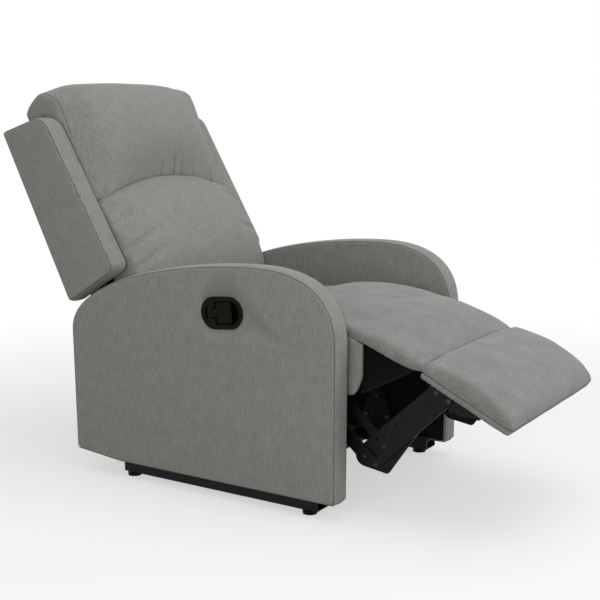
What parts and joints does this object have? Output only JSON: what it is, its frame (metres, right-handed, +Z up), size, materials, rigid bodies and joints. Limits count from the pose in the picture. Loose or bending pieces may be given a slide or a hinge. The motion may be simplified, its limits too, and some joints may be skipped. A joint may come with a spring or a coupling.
{
  "type": "recliner armchair",
  "caption": "Upholstered recliner armchair with a folding footrest on a steel link mechanism, a reclining winged back and a pull handle in one arm.",
  "frame": {"origin": "on the floor, under the middle of the bounding box", "axes": "+Z up, +Y toward the back of the chair, +X toward the sitter's left"},
  "size_m": [0.676, 1.421, 1.0119],
  "materials": {
    "upholstery": "woven chenille in a warm mid grey",
    "webbing": "woven elastic webbing",
    "timber": "planed and unpainted",
    "mechanism_paint": "satin blue-black enamel",
    "bright_steel": "zinc plated",
    "black_plastic": "satin moulded",
    "bumper_rubber": "matt"
  },
  "bodies": {
    "base": {"arm_frame_left": "timber", "arm_frame_right": "timber", "arm_cover_left": "upholstery", "arm_cover_right": "upholstery", "handle_bezel": "black_plastic", "handle_pin": "bright_steel", "handle_screws": "bright_steel", "base_rail_left": "mechanism_paint", "base_rail_right": "mechanism_paint", "base_side_plates": "mechanism_paint", "base_cross_rails": "mechanism_paint", "feet": "black_plastic", "arm_bolts": "bright_steel", "rear_tie_board": "timber", "base_pins": "bright_steel"},
    "handle": {"handle_paddle": "black_plastic"},
    "front_swing": {"swing_links_front": "mechanism_paint"},
    "rear_swing": {"swing_links_rear": "mechanism_paint"},
    "seat": {"seat_plate_left": "mechanism_paint", "seat_plate_right": "mechanism_paint", "seat_side_rails": "timber", "seat_front_rail": "timber", "seat_rear_rail": "timber", "seat_webbing": "webbing", "seat_apron": "upholstery", "seat_facings": "upholstery", "seat_cross_tube": "mechanism_paint", "seat_pins": "bright_steel", "seat_cushion": "upholstery", "chaise_pad": "upholstery"},
    "back": {"back_posts": "timber", "back_brackets": "mechanism_paint", "wing_panels": "timber", "wing_left": "upholstery", "wing_right": "upholstery", "back_bolts": "bright_steel", "back_rail_lower": "timber", "back_rail_middle": "timber", "back_rail_upper": "timber", "back_board": "timber", "back_webbing": "webbing", "lumbar_cushion": "upholstery", "head_cushion": "upholstery"},
    "drive_link": {"drive_link_left": "mechanism_paint", "drive_link_right": "mechanism_paint", "drive_tube": "mechanism_paint", "drive_pins": "bright_steel"},
    "guide_link": {"guide_links": "mechanism_paint"},
    "extension_link": {"extension_link_left": "mechanism_paint", "extension_link_right": "mechanism_paint", "extension_cross_tube": "mechanism_paint", "extension_pins": "bright_steel"},
    "tilt_link": {"tilt_links": "mechanism_paint"},
    "footrest": {"footrest_board": "timber", "footrest_bracket_left": "mechanism_paint", "footrest_bracket_right": "mechanism_paint", "footrest_screws": "bright_steel", "footrest_bumpers": "bumper_rubber", "footrest_cushion": "upholstery", "footrest_pins": "bright_steel"}
  },
  "joints": [
    {"name": "recline", "type": "hinge", "parent": "seat", "child": "back", "pos_m": [0, 0.3365, 0.336], "axis": [1, 0, 0], "range_deg": [-8, 15]},
    {"name": "rear_swing_pivot", "type": "hinge", "parent": "base", "child": "rear_swing", "pos_m": [0, 0.2565, 0.152], "axis": [1, 0, 0], "range_deg": [-12.5, 7]},
    {"name": "seat_glide", "type": "hinge", "parent": "rear_swing", "child": "seat", "pos_m": [0, 0.2565, 0.262], "axis": [1, 0, 0], "range_deg": [-7, 12.5]},
    {"name": "front_swing_pivot", "type": "hinge", "parent": "base", "child": "front_swing", "pos_m": [0, -0.0895, 0.152], "axis": [1, 0, 0], "range_deg": [-12.5, 7]},
    {"name": "footrest_fold", "type": "hinge", "parent": "seat", "child": "footrest", "pos_m": [0, -0.37831, 0.44857], "axis": [1, 0, 0], "range_deg": [0, 70], "deforming": ["chaise_pad"]},
    {"name": "drive_pivot", "type": "hinge", "parent": "seat", "child": "drive_link", "pos_m": [0, -0.1995, 0.271], "axis": [1, 0, 0], "range_deg": [0, 70]},
    {"name": "guide_pivot", "type": "hinge", "parent": "seat", "child": "guide_link", "pos_m": [0, -0.2475, 0.301], "axis": [1, 0, 0], "range_deg": [0, 70]},
    {"name": "knee_pivot", "type": "hinge", "parent": "drive_link", "child": "extension_link", "pos_m": [0, -0.33327, 0.15056], "axis": [1, 0, 0], "range_deg": [-70, 0]},
    {"name": "tilt_pivot", "type": "hinge", "parent": "drive_link", "child": "tilt_link", "pos_m": [0, -0.36548, 0.13688], "axis": [1, 0, 0], "range_deg": [-70, 0]},
    {"name": "handle_pull", "type": "hinge", "parent": "base", "child": "handle", "pos_m": [-0.332, 0.05135, 0.46851], "axis": [0, -0.0872, -0.9962], "range_deg": [0, 40], "stiffness_Nm_per_rad": 0.6}
  ],
  "couplings": [
    {"joint": "rear_swing_pivot", "follows": "recline", "ratio": -0.8},
    {"joint": "seat_glide", "follows": "recline", "ratio": 0.8},
    {"joint": "front_swing_pivot", "follows": "recline", "ratio": -0.8},
    {"joint": "drive_pivot", "follows": "footrest_fold", "ratio": 1},
    {"joint": "guide_pivot", "follows": "footrest_fold", "ratio": 1},
    {"joint": "knee_pivot", "follows": "footrest_fold", "ratio": -1},
    {"joint": "tilt_pivot", "follows": "footrest_fold", "ratio": -1}
  ]
}
